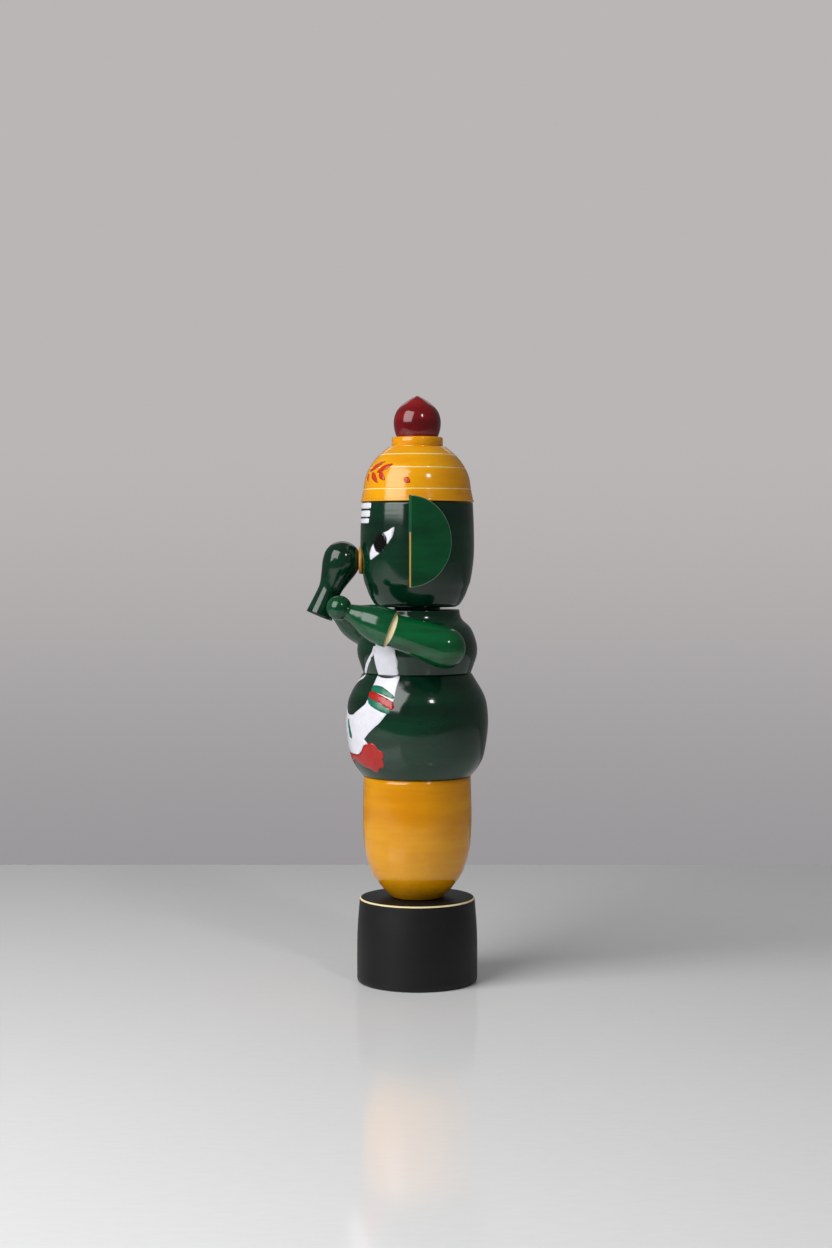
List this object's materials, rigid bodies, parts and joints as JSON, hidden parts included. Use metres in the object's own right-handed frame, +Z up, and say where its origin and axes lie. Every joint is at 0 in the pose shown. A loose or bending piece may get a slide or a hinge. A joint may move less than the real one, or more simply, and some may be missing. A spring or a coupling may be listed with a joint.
{
  "type": "turned wooden ganesha statue",
  "caption": "Lathe-turned, lacquered wooden Ganesha figure with a pegged trunk, half-disc ears, raised arms and a domed crown on a round black base.",
  "frame": {"origin": "centre of the base's underside, where the figure stands", "axes": "+Z up, the body faces -Y, its left arm is on +X; the head is turned about 11 degrees towards -X"},
  "size_m": [0.079, 0.0759, 0.25],
  "materials": {
    "black_lacquer": "black lac on turned wood, satin",
    "yellow_lacquer": "yellow lac on turned wood, high gloss",
    "dark_green_lacquer": "dark green lac on turned wood, high gloss, with painted marks",
    "clear_green_lacquer": "clear green lac on turned wood, high gloss",
    "maroon_lacquer": "maroon lac on turned wood, high gloss",
    "bare_wood": "bare pale wood, matte"
  },
  "bodies": {
    "root": {"base": "black_lacquer", "leg_drum": "yellow_lacquer", "belly": "dark_green_lacquer", "chest": "dark_green_lacquer", "head": "dark_green_lacquer", "trunk": "dark_green_lacquer", "crown": "yellow_lacquer", "crown_finial": "maroon_lacquer", "ear_left": "clear_green_lacquer", "ear_right": "clear_green_lacquer", "upper_arm_left": "clear_green_lacquer", "upper_arm_right": "clear_green_lacquer", "forearm_left": "clear_green_lacquer", "forearm_right": "clear_green_lacquer", "base_dowel": "bare_wood", "waist_dowel": "bare_wood", "chest_dowel": "bare_wood", "neck_dowel": "bare_wood", "crown_dowel": "bare_wood", "trunk_dowel": "bare_wood", "shoulder_dowel_left": "bare_wood", "shoulder_dowel_right": "bare_wood", "elbow_dowel_left": "bare_wood", "elbow_dowel_right": "bare_wood", "ear_dowel_left": "bare_wood", "ear_dowel_right": "bare_wood"}
  },
  "joints": []
}
